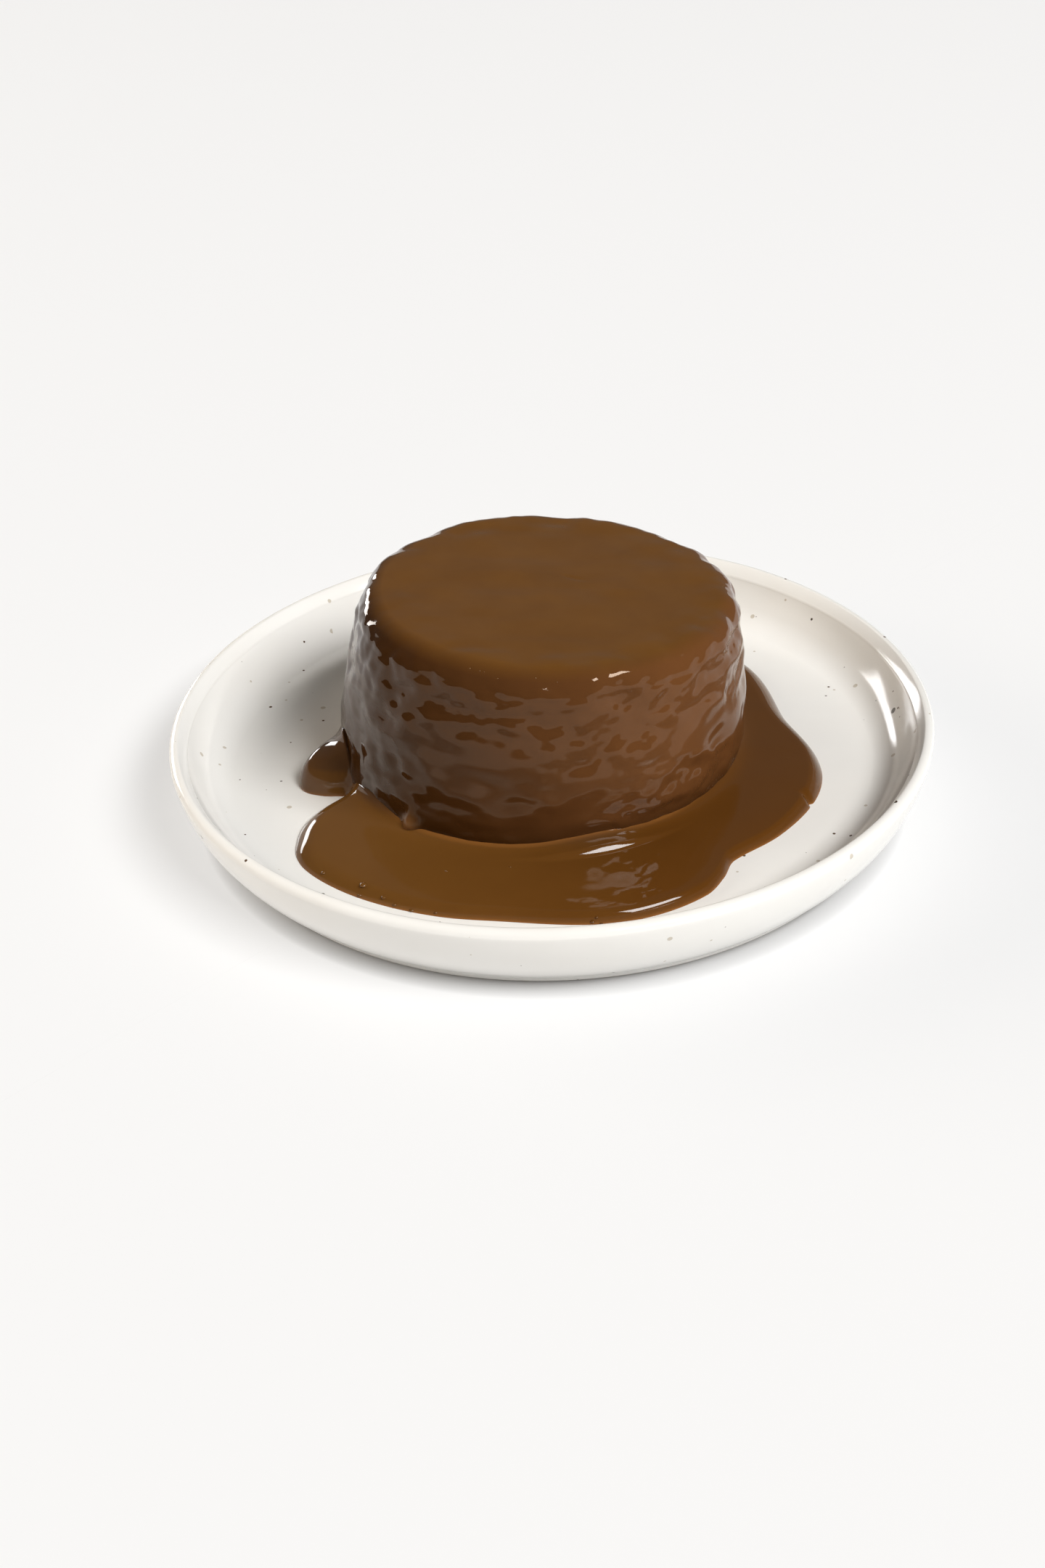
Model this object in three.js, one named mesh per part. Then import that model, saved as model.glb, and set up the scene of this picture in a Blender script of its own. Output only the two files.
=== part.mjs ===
// Chocolate lava cake on its dessert plate, with the chocolate sauce that ran down and pooled round it.
//
// Three separate pieces: the stoneware plate, the moulded cake and the ring of sauce on the plate.
// Millimetres, +Z up. The origin is the centre of the plate's foot, on the table.
// -Y is the front, where the sauce reaches furthest; +X is the right.

import * as THREE from "three";

// ---------------------------------------------------------------- driving dimensions

// Plate: a low coupe plate with a rolled lip and a ground foot ring.
const PLATE_RADIUS = 77.5;
const PLATE_HEIGHT = 18;
const PLATE_SEGMENTS = 64;
const LIP_OUTER_ROUND = 1.5;
const LIP_INNER_ROUND = 1.25;
const LIP_INNER_RADIUS = 73.9; // where the wall of the well meets the lip
const LIP_INNER_LEVEL = 15.1;
const LIP_OUTER_TURN = 115; // degrees turned over the lip's outer rounding, then over its inner one
const LIP_INNER_TURN = [120, 170];
const WELL_LEVEL = 8; // top of the well's flat floor
const WELL_FLAT_RADIUS = 65.2;
const WELL_FILLET = 7.2;
const WELL_WALL_ANGLE = 55; // degrees from the floor
const FOOT_OUTER_RADIUS = 67.2;
const FOOT_INNER_RADIUS = 61;
const FOOT_RECESS = 3; // the underside inside the foot ring stands this far off the table
const FOOT_EDGE = new THREE.Vector2(68.6, 1.4); // end of the outer wall, above the foot's rounding
const FOOT_PULL = new THREE.Vector2(68.3, 0.1); // control point of the foot's rounding
const WALL_PULL = new THREE.Vector2(75.8, 7.2); // control point of the outer wall's curve
const CURVE_STEPS = 3; // straight facets along each curve of the plate's section

// Cake: a moulded round, glazed all over, that leans a little and is not quite round.
const CAKE_CENTRE = new THREE.Vector2(-2.3, -1.7);
const CAKE_HEIGHT = 38.2; // above the floor of the well
const CAKE_FOOT_RADIUS = 39.6;
const CAKE_TAPER = 0.021; // radius lost for each millimetre of height
const CAKE_BELLY = 0.00426; // curvature of the side: bulges low down, draws in towards the top
const CAKE_BELLY_LOW = 2.6; // the two heights where the side is back on its taper
const CAKE_BELLY_HIGH = 17.9;
const CAKE_EDGE_ROUND = 5.5;
const CAKE_EDGE_START = 12; // degrees: the side already draws in this much where the edge rounds over
const CAKE_LEAN = new THREE.Vector2(3.1, 0.7); // shift of the top against the foot
const CAKE_TOP_FALL = 0.057; // the top falls this much for each millimetre towards +X
const OVAL_SHARE = 0.022;
const OVAL_DIRECTION = 11; // degrees
const THREE_LOBE_SHARE = 0.009;
const THREE_LOBE_DIRECTION = 16;
const CAKE_SIDE_RINGS = 19;
const CAKE_EDGE_RINGS = 5;
const CAKE_TOP_RINGS = 7;
const SEGMENTS = 96; // cuts round the cake, and round the sauce that fits it

// Relief of the crumb that shows through the glaze: small lumps on broad waves.
const LUMP_DEPTH = 0.45;
const LUMP_WIDTH = 7;
const LUMP_RISE = 4.2;
const LUMP_SEED = 41;
const WAVE_DEPTH = 0.45;
const WAVE_WIDTH = 18;
const WAVE_RISE = 13;
const WAVE_SEED = 7;
const TOP_RELIEF_SHARE = 0.45; // the flat top is smoother than the side
const RELIEF_START = 4.4; // the sauce keeps the foot of the cake smooth below this height
const RELIEF_FULL = 8;

// Sauce: a pool that beads at its free edge and climbs a little up the cake.
const SAUCE_DEPTH = 2.7;
const SAUCE_BEAD = 3.4; // the edge rises to full depth over this width
const SAUCE_BEAD_LIMIT = 0.7; // but over no more than this share of the way to the cake
const SAUCE_CLIMB = 1.5;
const SAUCE_CLIMB_WIDTH = 2.6;
const TONGUE_DIRECTION = 186; // a thick, slow tongue at the left
const TONGUE_SPREAD = 9;
const TONGUE_EXTRA = 2.6;
const BEAD_STEPS = [0.04, 0.16, 0.36, 0.64, 1]; // shares of the bead's width where the section has a corner
const FLAT_STEPS = [0.5, 0.78, 0.92]; // and of the way from the bead to the cake
const GAP = 0.3; // clearance between pieces that touch
const FACET_SLACK = 0.1; // added where two faceted sides run round each other

// Free edge of the pool, seen from above: [direction in degrees, reach from the cake's centre].
// Tips and bays of its lobes, counter-clockwise from the right.
const SAUCE_EDGE = [
  [12, 52.4], [36, 56.2], [50, 55.2], [70, 50.4], [91, 52.6], [112, 46.2],
  [133, 48.4], [152, 44.2], [167, 43.6], [178, 47.2], [187, 49.7], [194, 47.8],
  [198.5, 44.4], [204, 51.2], [211, 56.4], [219, 60.3], [231, 60.8], [250, 59.8],
  [264, 59.2], [285, 61.8], [300, 60.6], [306, 58], [311.5, 55], [324, 57],
  [339, 58.1], [354, 56],
];

const PLATE_COLOUR = "#ebe8e1";
const CAKE_COLOUR = "#5b3519";
const SAUCE_COLOUR = "#4e2c12";

// ---------------------------------------------------------------- helpers

const degrees = THREE.MathUtils.degToRad;
const { lerp, smoothstep } = THREE.MathUtils;

// A repeatable random value from -1 to 1 at each corner of an endless lattice.
function latticeValue(i, j, k, seed) {
  const mixed = Math.sin(i * 127.1 + j * 311.7 + k * 74.7 + seed) * 43758.5453;
  return (mixed - Math.floor(mixed)) * 2 - 1;
}

// Smooth uneven field through space, blended between the corners of the lattice.
function unevenness(x, y, z, seed) {
  const [i, j, k] = [x, y, z].map(Math.floor);
  const [u, v, w] = [x - i, y - j, z - k].map((t) => smoothstep(t, 0, 1));
  const corner = (a, b, c) => latticeValue(i + a, j + b, k + c, seed);
  const alongX = (b, c) => lerp(corner(0, b, c), corner(1, b, c), u);
  const atLevel = (c) => lerp(alongX(0, c), alongX(1, c), v);
  return lerp(atLevel(0), atLevel(1), w);
}

function namedMesh(name, geometry, colour, roughness) {
  geometry.computeVertexNormals();
  const material = new THREE.MeshStandardMaterial({ color: colour, roughness, metalness: 0 });
  const mesh = new THREE.Mesh(geometry, material);
  mesh.name = name;
  return mesh;
}

// ---------------------------------------------------------------- plate

// The plate's section, from the axis along the underside, up the wall, over the lip and back.
function plateSection() {
  const lipCentre = PLATE_RADIUS - LIP_OUTER_ROUND;
  const lipLevel = PLATE_HEIGHT - LIP_OUTER_ROUND;
  const innerLipCentre = LIP_INNER_RADIUS + LIP_INNER_ROUND;
  const wallTurn = degrees(WELL_WALL_ANGLE - 90);
  const section = new THREE.Path();
  section.moveTo(0, FOOT_RECESS);
  section.lineTo(FOOT_INNER_RADIUS - FOOT_RECESS, FOOT_RECESS);
  section.lineTo(FOOT_INNER_RADIUS, 0);
  section.lineTo(FOOT_OUTER_RADIUS, 0);
  section.quadraticCurveTo(FOOT_PULL.x, FOOT_PULL.y, FOOT_EDGE.x, FOOT_EDGE.y);
  section.quadraticCurveTo(WALL_PULL.x, WALL_PULL.y, PLATE_RADIUS, lipLevel);
  section.absarc(lipCentre, lipLevel, LIP_OUTER_ROUND, 0, degrees(LIP_OUTER_TURN));
  section.absarc(innerLipCentre, LIP_INNER_LEVEL, LIP_INNER_ROUND, ...LIP_INNER_TURN.map(degrees));
  section.absarc(WELL_FLAT_RADIUS, WELL_LEVEL + WELL_FILLET, WELL_FILLET, wallTurn, -Math.PI / 2, true);
  section.lineTo(0, WELL_LEVEL);
  return section.getPoints(CURVE_STEPS);
}

function makePlate() {
  const geometry = new THREE.LatheGeometry(plateSection(), PLATE_SEGMENTS);
  geometry.rotateX(Math.PI / 2);
  return namedMesh("plate", geometry, PLATE_COLOUR, 0.3);
}

// ---------------------------------------------------------------- cake

// Radius of the plain turned side at a height above the floor of the well.
function sideRadius(height) {
  const belly = CAKE_BELLY * (height - CAKE_BELLY_LOW) * (height - CAKE_BELLY_HIGH);
  return CAKE_FOOT_RADIUS - CAKE_TAPER * (height - CAKE_BELLY_LOW) - belly;
}

// Share by which the cake is wider than a true round in this direction.
function outOfRound(angle) {
  const oval = OVAL_SHARE * Math.cos(2 * (angle - degrees(OVAL_DIRECTION)));
  const threeLobed = THREE_LOBE_SHARE * Math.cos(3 * (angle - degrees(THREE_LOBE_DIRECTION)));
  return 1 + oval + threeLobed;
}

// Relief in millimetres, out from the turned surface, where outwards is 1 on the side and 0 on the top.
function relief(x, y, height, outwards) {
  const strength = smoothstep(height, RELIEF_START, RELIEF_FULL) * lerp(TOP_RELIEF_SHARE, 1, outwards);
  const lumps = unevenness(x / LUMP_WIDTH, y / LUMP_WIDTH, height / LUMP_RISE, LUMP_SEED);
  const waves = unevenness(x / WAVE_WIDTH, y / WAVE_WIDTH, height / WAVE_RISE, WAVE_SEED);
  return strength * (LUMP_DEPTH * lumps + WAVE_DEPTH * waves);
}

// Moves a point of the true round to where the leaning, uneven cake has it.
function placeOnCake(radius, angle, height, outwards) {
  const lean = height / CAKE_HEIGHT;
  const x = radius * outOfRound(angle) * Math.cos(angle);
  const y = radius * outOfRound(angle) * Math.sin(angle);
  const bump = relief(x, y, height, outwards);
  return new THREE.Vector3(
    CAKE_CENTRE.x + CAKE_LEAN.x * lean + x + bump * outwards * Math.cos(angle),
    CAKE_CENTRE.y + CAKE_LEAN.y * lean + y + bump * outwards * Math.sin(angle),
    WELL_LEVEL + height - CAKE_TOP_FALL * lean * x + bump * (1 - outwards),
  );
}

// The cake's section as [radius, height, share of the surface that faces outwards].
function cakeSection() {
  const edgeCentreRadius = sideRadius(CAKE_HEIGHT - CAKE_EDGE_ROUND) - CAKE_EDGE_ROUND;
  const edgeCentreHeight = CAKE_HEIGHT - CAKE_EDGE_ROUND;
  const edgeStart = edgeCentreHeight + CAKE_EDGE_ROUND * Math.sin(degrees(CAKE_EDGE_START));
  const section = [[0, GAP, 1]];
  for (let i = 0; i < CAKE_SIDE_RINGS; i++) {
    const height = lerp(GAP, edgeStart, i / CAKE_SIDE_RINGS);
    section.push([sideRadius(height), height, 1]);
  }
  for (let i = 0; i <= CAKE_EDGE_RINGS; i++) {
    const turn = degrees(lerp(CAKE_EDGE_START, 90, i / CAKE_EDGE_RINGS));
    const radius = edgeCentreRadius + CAKE_EDGE_ROUND * Math.cos(turn);
    section.push([radius, edgeCentreHeight + CAKE_EDGE_ROUND * Math.sin(turn), Math.cos(turn)]);
  }
  for (let i = 1; i <= CAKE_TOP_RINGS; i++) {
    section.push([edgeCentreRadius * (1 - i / CAKE_TOP_RINGS), CAKE_HEIGHT, 0]);
  }
  return section;
}

// A plain lathe turning gives the triangles, and each of its vertices is then moved into place.
function makeCake() {
  const section = cakeSection();
  const outline = section.map(([radius, height]) => new THREE.Vector2(radius, height));
  const turned = new THREE.LatheGeometry(outline, SEGMENTS);
  turned.rotateX(Math.PI / 2);
  const position = turned.getAttribute("position");
  for (let i = 0; i < position.count; i++) {
    const [radius, height, outwards] = section[i % section.length];
    const angle = radius === 0 ? 0 : Math.atan2(position.getY(i), position.getX(i));
    const place = placeOnCake(radius, angle, height, outwards);
    position.setXYZ(i, place.x, place.y, place.z);
  }
  return namedMesh("cake", turned, CAKE_COLOUR, 0.25);
}

// ---------------------------------------------------------------- sauce

// Reach of the pool's free edge in a direction, on a smooth closed curve through SAUCE_EDGE.
function sauceReach(angle) {
  const count = SAUCE_EDGE.length;
  const turn = THREE.MathUtils.euclideanModulo(THREE.MathUtils.radToDeg(angle), 360);
  const knot = (i) => {
    const [direction, reach] = SAUCE_EDGE[(i + count) % count];
    return [direction + 360 * Math.floor(i / count), reach];
  };
  let i = 0;
  while (i < count && knot(i)[0] <= turn) i++;
  const [before, start, end, after] = [knot(i - 2), knot(i - 1), knot(i), knot(i + 1)];
  const span = end[0] - start[0];
  const startSlope = ((end[1] - before[1]) / (end[0] - before[0])) * span;
  const endSlope = ((after[1] - start[1]) / (after[0] - start[0])) * span;
  const t = (turn - start[0]) / span;
  const bend = t * (1 - t) * ((1 - t) * startSlope - t * endSlope);
  return lerp(start[1], end[1], t * t * (3 - 2 * t)) + bend;
}

// Height of the sauce above its underside, at a distance in from the free edge and out from the cake.
function sauceHeight(angle, fromEdge, fromCake) {
  const turned = THREE.MathUtils.radToDeg(angle) - TONGUE_DIRECTION;
  const offTongue = THREE.MathUtils.euclideanModulo(turned + 180, 360) - 180;
  const depth = SAUCE_DEPTH + TONGUE_EXTRA * Math.exp(-((offTongue / TONGUE_SPREAD) ** 2));
  const bead = Math.sqrt(1 - (1 - Math.min(1, fromEdge / SAUCE_BEAD)) ** 2);
  return depth * bead + SAUCE_CLIMB * Math.exp(-fromCake / SAUCE_CLIMB_WIDTH) * bead;
}

// The closed loop of points that one cut through the ring of sauce shows, from the cake's foot outwards
// along the plate, over the bead at the free edge and back in to the cake's side.
function sauceCut(angle) {
  const under = WELL_LEVEL + GAP;
  const topHeight = GAP + sauceHeight(angle, SAUCE_BEAD, 0);
  const clearance = GAP + FACET_SLACK;
  const foot = placeOnCake(sideRadius(GAP) + clearance / outOfRound(angle), angle, GAP, 1);
  const climbed = placeOnCake(sideRadius(topHeight) + clearance / outOfRound(angle), angle, topHeight, 1);
  const edge = new THREE.Vector3(
    CAKE_CENTRE.x + sauceReach(angle) * Math.cos(angle),
    CAKE_CENTRE.y + sauceReach(angle) * Math.sin(angle),
    under,
  );
  const width = Math.hypot(edge.x - foot.x, edge.y - foot.y);
  const beadWidth = Math.min(SAUCE_BEAD, width * SAUCE_BEAD_LIMIT);
  const onTop = (fromEdge) => {
    const point = edge.clone().lerp(climbed, fromEdge / width);
    point.z = under + sauceHeight(angle, fromEdge, width - fromEdge);
    return point;
  };
  const cut = [foot, edge];
  for (const share of BEAD_STEPS) cut.push(onTop(beadWidth * share));
  for (const share of FLAT_STEPS) cut.push(onTop(lerp(beadWidth, width, share)));
  climbed.z = under + sauceHeight(angle, width, 0);
  cut.push(climbed);
  return cut;
}

function makeSauce() {
  const corners = [];
  for (let i = 0; i < SEGMENTS; i++) {
    corners.push(...sauceCut((2 * Math.PI * i) / SEGMENTS));
  }
  const loop = corners.length / SEGMENTS;
  const faces = [];
  for (let i = 0; i < SEGMENTS; i++) {
    const next = (i + 1) % SEGMENTS;
    for (let j = 0; j < loop; j++) {
      const [a, b] = [i * loop + j, i * loop + ((j + 1) % loop)];
      const [c, d] = [next * loop + j, next * loop + ((j + 1) % loop)];
      faces.push(a, c, b, b, c, d);
    }
  }
  const geometry = new THREE.BufferGeometry().setFromPoints(corners);
  geometry.setIndex(faces);
  return namedMesh("sauce_pool", geometry, SAUCE_COLOUR, 0.1);
}

// ---------------------------------------------------------------- assembly

const part = new THREE.Group();
part.add(makePlate(), makeCake(), makeSauce());

export default part;
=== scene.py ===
# %% [markdown]
# # A chocolate lava cake on a stoneware plate
#
# The real thing is three materials: a glazed stoneware plate, a moulded cake under a poured chocolate
# glaze, and the sauce that ran down and pooled round it. All of its character is in smooth, wet
# reflections, so this scene spends its work on true surfaces and leaves little to painted colour.
#
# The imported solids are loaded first. They fix every size and place, and nothing is fitted afterwards.

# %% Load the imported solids
from math import cos, pi, radians, sin

import bpy
import numpy as np
from mathutils import Matrix, Vector, noise


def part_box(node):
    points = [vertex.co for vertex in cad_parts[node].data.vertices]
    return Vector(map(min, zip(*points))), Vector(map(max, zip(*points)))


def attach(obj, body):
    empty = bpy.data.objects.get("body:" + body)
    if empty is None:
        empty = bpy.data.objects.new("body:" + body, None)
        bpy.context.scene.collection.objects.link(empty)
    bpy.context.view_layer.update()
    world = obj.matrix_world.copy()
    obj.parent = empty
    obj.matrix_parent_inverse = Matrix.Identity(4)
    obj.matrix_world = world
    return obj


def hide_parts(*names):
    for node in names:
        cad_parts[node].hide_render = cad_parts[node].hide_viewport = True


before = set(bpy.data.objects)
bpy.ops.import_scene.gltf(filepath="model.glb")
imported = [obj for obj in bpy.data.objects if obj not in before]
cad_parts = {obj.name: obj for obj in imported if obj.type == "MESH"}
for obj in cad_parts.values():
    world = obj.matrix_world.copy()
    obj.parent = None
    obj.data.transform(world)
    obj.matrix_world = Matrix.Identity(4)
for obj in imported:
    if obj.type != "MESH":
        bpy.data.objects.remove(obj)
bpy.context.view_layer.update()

MM = 0.001  # lengths below are in millimetres, and one factor turns them to Blender's metres
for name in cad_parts:
    low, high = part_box(name)
    print(name, "measures", [round(v / MM, 1) for v in high - low], "mm")

# %% [markdown]
# ## Colours and nodes
#
# A colour is given as an sRGB hex value, but light adds up in linear numbers, so one function
# turns every hex value. A node tree gets long when each node takes five lines, so one small helper adds
# a node, sets its properties and links its inputs in a single call.

# %% Helpers for materials
def linear(hex_colour):
    """An sRGB hex colour as linear red, green, blue, with alpha 1."""
    parts = [int(hex_colour[i:i + 2], 16) / 255 for i in (1, 3, 5)]
    return (*(p / 12.92 if p <= 0.04045 else ((p + 0.055) / 1.055) ** 2.4 for p in parts), 1.0)


def add_node(tree, kind, inputs, **settings):
    """Adds a node. Each input takes a plain value, or the output socket that feeds it."""
    node = tree.nodes.new(kind)
    for name, value in settings.items():
        setattr(node, name, value)
    for name, value in inputs.items():
        if isinstance(value, bpy.types.NodeSocket):
            tree.links.new(value, node.inputs[name])
        else:
            node.inputs[name].default_value = value
    return node


def new_material(name):
    """A material and its node tree, still empty."""
    material = bpy.data.materials.new(name)
    material.use_nodes = True
    material.node_tree.nodes.clear()
    return material, material.node_tree


def add_shader(tree, inputs):
    """Ends a material's node tree with a Principled shader."""
    shader = add_node(tree, "ShaderNodeBsdfPrincipled", inputs)
    add_node(tree, "ShaderNodeOutputMaterial", {"Surface": shader.outputs[0]})


# %% [markdown]
# ## Rings into a mesh
#
# The plate, the cake and the pool are all rounds: a section carried round an axis, each with its own
# unevenness. A lathe modifier can't make an uneven round, so each piece is computed as rings of points
# with NumPy and one function joins neighbouring rings with quads. Half-millimetre quads are fine enough
# for the mirror-like glaze, which shows every dent in the light that it reflects.

# %% From rings of points to a piece
def add_mesh(name, points, faces):
    """A smooth mesh object of points in mm."""
    mesh = bpy.data.meshes.new(name)
    mesh.from_pydata((np.asarray(points) * MM).tolist(), [], faces)
    mesh.shade_smooth()
    piece = bpy.data.objects.new(name, mesh)
    bpy.context.scene.collection.objects.link(piece)
    print(name, "has", len(faces), "faces")
    return piece


def join_rings(rings, first=None, last=None, closed=False):
    """Points and faces over rings (ring, column, xyz). A first and a last point close the ends."""
    count, columns = rings.shape[:2]
    points = rings.reshape(-1, 3)
    index = np.arange(count * columns).reshape(count, columns)
    following = np.roll(index, -1, axis=1)
    pairs = count if closed else count - 1
    above = np.roll(index, -1, axis=0)[:pairs]
    above_following = np.roll(following, -1, axis=0)[:pairs]
    quads = np.stack([index[:pairs], following[:pairs], above_following, above], axis=-1).reshape(-1, 4)
    faces = quads.tolist()
    if first is not None:
        points = np.vstack([points, first, last])
        start, end = len(points) - 2, len(points) - 1
        faces += [[start, b, a] for a, b in zip(index[0].tolist(), following[0].tolist())]
        faces += [[a, b, end] for a, b in zip(index[-1].tolist(), following[-1].tolist())]
    return points, faces


def paint(piece, name, values):
    """Stores one number for each point of the rings, for a material to read. The end points get 0."""
    flat = np.zeros(len(piece.data.vertices), dtype=np.float32)
    flat[:values.size] = values.ravel()
    piece.data.attributes.new(name, "FLOAT", "POINT").data.foreach_set("value", flat)


def angles(columns):
    """Even steps round a full turn, in radians from +X."""
    return np.linspace(0, 2 * pi, columns, endpoint=False)


# %% [markdown]
# ## Uneven surfaces
#
# A hand-made surface is uneven in a smooth way. The solids use a lattice of random values, one for each
# cell of a given width, blended between cells. The same function is written here again, so the fine
# meshes carry the same lumps in the same places, and smaller lumps are added to them with Blender's own
# Perlin noise. Both give the same value at the same place on every run. A noise that is used twice is
# read at another shift each time, so that no two fields have their lumps in the same places.

# %% Smooth random fields
def lattice_value(i, j, k, seed):
    """A value from -1 to 1 that looks random, for whole numbers i, j and k."""
    mixed = np.sin(i * 127.1 + j * 311.7 + k * 74.7 + seed) * 43758.5453
    return (mixed - np.floor(mixed)) * 2 - 1


def smooth(value, start=0.0, end=1.0):
    """From 0 at the start to 1 at the end, level at both."""
    share = np.clip((value - start) / (end - start), 0, 1)
    return share * share * (3 - 2 * share)


def blend(a, b, share):
    return a + (b - a) * share


def unevenness(x, y, z, seed):
    """One random value from -1 to 1 for each unit cell, blended smoothly between the cells."""
    i, j, k = np.floor(x), np.floor(y), np.floor(z)
    u, v, w = smooth(x - i), smooth(y - j), smooth(z - k)
    total = 0.0
    for a in (0, 1):
        for b in (0, 1):
            for c in (0, 1):
                weight = (u if a else 1 - u) * (v if b else 1 - v) * (w if c else 1 - w)
                total = total + weight * lattice_value(i + a, j + b, k + c, seed)
    return total


def perlin(points, cell, shift=0.0):
    """Blender's Perlin noise at points in mm, with cells of the given width, depth and height in mm."""
    scaled = points.reshape(-1, 3) / np.array(cell) + shift
    values = [noise.noise(Vector(p), noise_basis="PERLIN_NEW") for p in scaled]
    return np.array(values).reshape(points.shape[:-1])


def push_out(rings, amount):
    """Moves points of closed rings by an amount in mm along their surface's normal."""
    around = np.roll(rings, -1, axis=1) - np.roll(rings, 1, axis=1)
    along = np.gradient(rings, axis=0)
    normal = np.cross(around, along)
    normal /= np.linalg.norm(normal, axis=-1, keepdims=True) + 1e-12
    return rings + normal * amount[..., None]


def bell(distance, width):
    """1 at distance 0, falling to about a third at the width."""
    return np.exp(-((distance / width) ** 2))


def turn_between(angle, direction):
    """Degrees from a direction to angles in radians, from -180 to 180."""
    return (np.degrees(angle) - direction + 180) % 360 - 180


# %% [markdown]
# ## The plate
#
# The plate was jiggered: clay pressed over a turning mould, which gives a true section with soft
# corners, then dipped in glaze. Glaze rounds every edge a little and breaks thin on the lip. The section
# below is the solid's own section with many more steps in each curve, so that the lip's highlight runs
# in one clean line, and the finished round is out of true by a tenth or two of a millimetre, as fired
# clay is. It starts under the plate in the middle, goes round the foot ring and over the lip, and ends
# in the middle of the floor.

# %% The plate's sizes, from the frame
plate_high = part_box("plate")[1] / MM
PLATE_RADIUS = plate_high.x
PLATE_HEIGHT = plate_high.z
LIP_OUTER_ROUND = 1.5
LIP_INNER_ROUND = 1.25
LIP_INNER_RADIUS = PLATE_RADIUS - 3.6
LIP_INNER_LEVEL = PLATE_HEIGHT - 2.9
GAP = 0.3  # clearance of the solids, which the sauce fills here
WELL_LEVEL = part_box("sauce_pool")[0].z / MM - GAP
WELL_FLAT_RADIUS = 65.2
WELL_FILLET = 7.2
WELL_WALL_ANGLE = 55
FOOT_OUTER_RADIUS = 67.2
FOOT_INNER_RADIUS = 61
FOOT_RECESS = 3
FOOT_ROUND = 0.6
WALL_START, WALL_PULL = (68.62, 1.46), (75.8, 7.2)  # the outer wall's flare
OVAL_AMOUNT, WARP_AMOUNT, DIMPLE_DEPTH, DIMPLE_WIDTH = 0.12, 0.1, 0.05, 9  # mm, how far out of true
PLATE_COLUMNS = 384
print("plate", round(2 * PLATE_RADIUS, 1), "mm across, well floor at", round(WELL_LEVEL, 2), "mm")


# %% The plate's section as short straight steps
def arc(centre, radius, start, end, steps):
    """Points on an arc from a start to an end angle in degrees."""
    turn = np.radians(np.linspace(start, end, steps))
    return np.stack([centre[0] + radius * np.cos(turn), centre[1] + radius * np.sin(turn)], axis=1)


def curve(start, pull, end, steps):
    """Points on a soft curve that a third point pulls towards itself."""
    t = np.linspace(0, 1, steps)[:, None]
    start, pull, end = (np.array(p) for p in (start, pull, end))
    return start * (1 - t) ** 2 + 2 * pull * t * (1 - t) + end * t ** 2


def straight(start, end, steps):
    return np.linspace(start, end, steps)


def plate_section():
    """Radius and height of each ring, from the middle of the underside to the middle of the floor."""
    lip_level = PLATE_HEIGHT - LIP_OUTER_ROUND
    fillet_centre = (WELL_FLAT_RADIUS, WELL_LEVEL + WELL_FILLET)
    return np.vstack([
        straight((1, FOOT_RECESS), (FOOT_INNER_RADIUS - FOOT_RECESS - 1, FOOT_RECESS), 12),
        curve((FOOT_INNER_RADIUS - FOOT_RECESS, FOOT_RECESS), (FOOT_INNER_RADIUS - 1, FOOT_RECESS),
              (FOOT_INNER_RADIUS, FOOT_ROUND), 6),
        arc((FOOT_INNER_RADIUS + FOOT_ROUND, FOOT_ROUND), FOOT_ROUND, 190, 270, 5),
        straight((FOOT_INNER_RADIUS + 1, 0), (FOOT_OUTER_RADIUS - 0.4, 0), 4),
        curve((FOOT_OUTER_RADIUS, 0), (68.3, 0.1), (68.6, 1.4), 7),
        curve(WALL_START, WALL_PULL, (PLATE_RADIUS, lip_level), 26)[1:],
        arc((PLATE_RADIUS - LIP_OUTER_ROUND, lip_level), LIP_OUTER_ROUND, 4, 108, 16),
        arc((LIP_INNER_RADIUS + LIP_INNER_ROUND, LIP_INNER_LEVEL), LIP_INNER_ROUND, 128, 175, 8),
        arc(fillet_centre, WELL_FILLET, WELL_WALL_ANGLE - 90, -90, 20),
        straight((WELL_FLAT_RADIUS - 1.5, WELL_LEVEL), (1, WELL_LEVEL), 44),
    ])


# %% Turn the section, a little out of true
def make_plate():
    section = plate_section()
    angle = angles(PLATE_COLUMNS)[None, :]
    radius, height = section[:, :1], section[:, 1:]
    rise = smooth(height, 2, PLATE_HEIGHT)
    oval = OVAL_AMOUNT * (1 + np.cos(2 * angle + 0.7)) * smooth(radius, 60, 76)
    warp = WARP_AMOUNT * (1 + np.sin(3 * angle + 1.1)) * smooth(radius, 66, 76)
    radius_here = radius - oval * rise
    height_here = height - warp * rise
    rings = np.stack(np.broadcast_arrays(
        radius_here * np.cos(angle), radius_here * np.sin(angle), height_here), axis=-1)
    dimples = perlin(rings, (DIMPLE_WIDTH,) * 3, 3.0)
    above_table = smooth(height_here, 0.2, 1.5)
    rings = push_out(rings, DIMPLE_DEPTH * dimples * above_table)
    return add_mesh("plate_glazed", *join_rings(rings, (0, 0, FOOT_RECESS), (0, 0, WELL_LEVEL)))


plate = make_plate()

# %% [markdown]
# ## The cake
#
# The cake came out of a mould upside down, so its side tapers towards the top, and it slumped a little
# over its soft middle: the side bulges low down and the top has slid towards the right. The solid already
# has that form, so this mesh repeats its turned side, its lean and its lumps on a much finer grid.
#
# Over that lies the glaze. It fills the crumb's pores and leaves smooth swellings 3 to 6 mm wide and
# a few tenths of a millimetre high. They look like nothing in a grey view, but each one tilts the mirror
# of the glaze by ten degrees or so, and that breaks the reflection of the white table into patches.

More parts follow.
